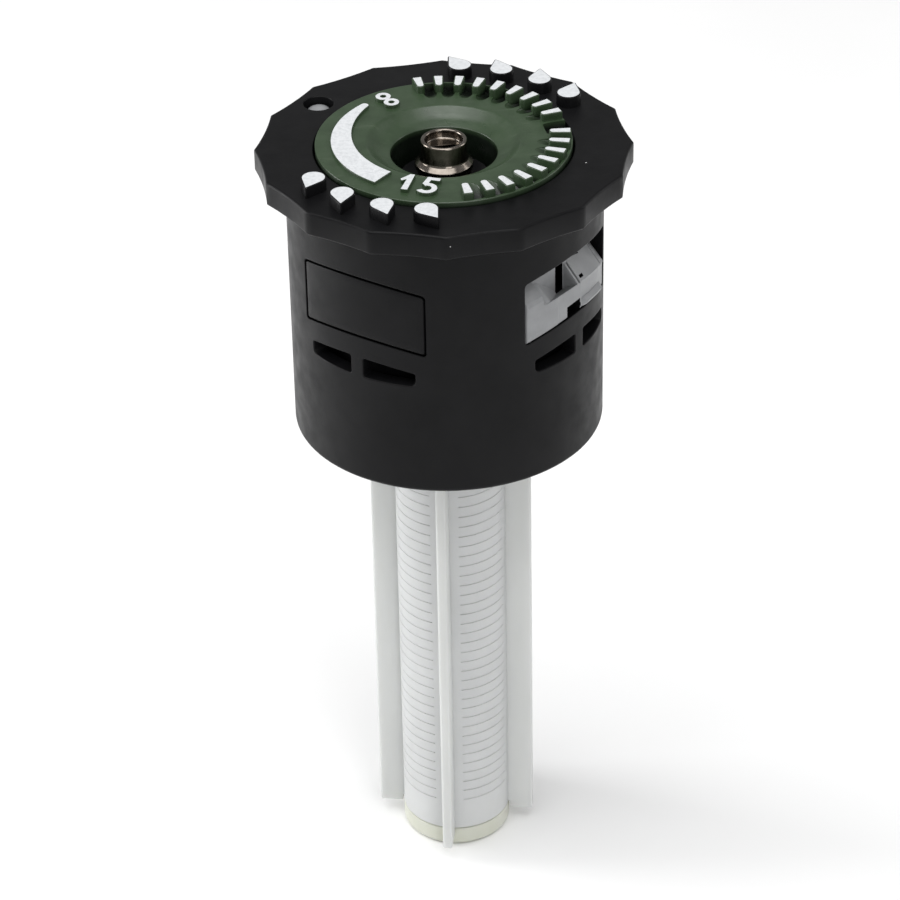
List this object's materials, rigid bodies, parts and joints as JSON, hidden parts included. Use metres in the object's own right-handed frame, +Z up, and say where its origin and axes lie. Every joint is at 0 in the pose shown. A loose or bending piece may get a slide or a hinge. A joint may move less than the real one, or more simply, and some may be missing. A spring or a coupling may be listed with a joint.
{
  "type": "rotating sprinkler nozzle",
  "caption": "Gear-driven rotating nozzle head for a pop-up sprinkler riser, with a scalloped flange, radius dial, throttle screw, side stream windows and a finned filter screen.",
  "frame": {"origin": "centre of the filter's foot, on the head's turning axis, at the lowest point", "axes": "+Z up along the turning axis, from the filter to the dial; -Y is the side with the blank window on the left and the open nozzle window on the right"},
  "size_m": [0.031, 0.031, 0.0703],
  "materials": {
    "black": "moulded black plastic, satin",
    "green": "moulded dark green plastic, matt",
    "grey": "moulded light grey plastic",
    "acetal": "natural acetal",
    "filter_white": "translucent white polypropylene",
    "filter_cream": "translucent natural polypropylene",
    "steel": "polished stainless steel",
    "seal_rubber": "black rubber"
  },
  "bodies": {
    "base": {"inlet_base": "black", "riser_gasket": "seal_rubber", "filter_screen": "filter_white", "filter_foot": "filter_cream", "throttle_seat": "grey", "stator": "acetal", "centre_tube": "steel", "gear_case": "black", "ring_gear": "acetal", "case_lid": "black", "base_seal": "seal_rubber", "thrust_washer": "acetal"},
    "turbine": {"turbine_wheel": "grey", "sun_gear_1": "acetal"},
    "stage_1_carrier": {"planet_carrier_1": "grey", "sun_gear_2": "acetal"},
    "head": {"output_carrier": "grey", "nozzle_carrier": "black", "head_housing": "black", "top_cap": "black", "blank_plate_left": "black", "blank_plate_rear": "black", "nozzle_insert_right": "grey", "nozzle_insert_far": "grey", "index_pin": "grey"},
    "dial": {"radius_dial": "green", "flow_shutter": "grey", "dial_seal": "seal_rubber"},
    "screw": {"throttle_screw": "steel", "screw_washer": "steel", "screw_clip": "steel"},
    "throttle": {"throttle_rod": "acetal"},
    "planet_1a": {"planet_gear_1a": "acetal"},
    "planet_1b": {"planet_gear_1b": "acetal"},
    "planet_1c": {"planet_gear_1c": "acetal"},
    "planet_2a": {"planet_gear_2a": "acetal"},
    "planet_2b": {"planet_gear_2b": "acetal"},
    "planet_2c": {"planet_gear_2c": "acetal"}
  },
  "joints": [
    {"name": "head_turn", "type": "hinge", "parent": "base", "child": "head", "pos_m": [0, 0, 0.0583], "axis": [0, 0, 1], "continuous": true},
    {"name": "turbine_spin", "type": "hinge", "parent": "base", "child": "turbine", "pos_m": [0, 0, 0.052], "axis": [0, 0, 1], "continuous": true},
    {"name": "carrier_spin", "type": "hinge", "parent": "base", "child": "stage_1_carrier", "pos_m": [0, 0, 0.0546], "axis": [0, 0, 1], "continuous": true},
    {"name": "dial_turn", "type": "hinge", "parent": "head", "child": "dial", "pos_m": [0, 0, 0.0665], "axis": [0, 0, 1], "range_deg": [-105, 19]},
    {"name": "screw_turn", "type": "hinge", "parent": "head", "child": "screw", "pos_m": [0, 0, 0.0665], "axis": [0, 0, 1], "range_deg": [-720, 0]},
    {"name": "throttle_lift", "type": "slide", "parent": "head", "child": "throttle", "axis": [0, 0, 1], "range_m": [0, 0.0016]},
    {"name": "planet_1a_spin", "type": "hinge", "parent": "stage_1_carrier", "child": "planet_1a", "pos_m": [0.006, 0, 0.05355], "axis": [0, 0, 1], "continuous": true},
    {"name": "planet_1b_spin", "type": "hinge", "parent": "stage_1_carrier", "child": "planet_1b", "pos_m": [-0.003, 0.0052, 0.05355], "axis": [0, 0, 1], "continuous": true},
    {"name": "planet_1c_spin", "type": "hinge", "parent": "stage_1_carrier", "child": "planet_1c", "pos_m": [-0.003, -0.0052, 0.05355], "axis": [0, 0, 1], "continuous": true},
    {"name": "planet_2a_spin", "type": "hinge", "parent": "head", "child": "planet_2a", "pos_m": [0.006, 0, 0.05565], "axis": [0, 0, 1], "continuous": true},
    {"name": "planet_2b_spin", "type": "hinge", "parent": "head", "child": "planet_2b", "pos_m": [-0.003, 0.0052, 0.05565], "axis": [0, 0, 1], "continuous": true},
    {"name": "planet_2c_spin", "type": "hinge", "parent": "head", "child": "planet_2c", "pos_m": [-0.003, -0.0052, 0.05565], "axis": [0, 0, 1], "continuous": true}
  ],
  "couplings": [
    {"joint": "turbine_spin", "follows": "head_turn", "ratio": 16},
    {"joint": "carrier_spin", "follows": "head_turn", "ratio": 4},
    {"joint": "throttle_lift", "follows": "screw_turn", "m_per_rad": -0.0001273},
    {"joint": "planet_1a_spin", "follows": "head_turn", "ratio": -12},
    {"joint": "planet_1b_spin", "follows": "head_turn", "ratio": -12},
    {"joint": "planet_1c_spin", "follows": "head_turn", "ratio": -12},
    {"joint": "planet_2a_spin", "follows": "head_turn", "ratio": -3},
    {"joint": "planet_2b_spin", "follows": "head_turn", "ratio": -3},
    {"joint": "planet_2c_spin", "follows": "head_turn", "ratio": -3}
  ]
}
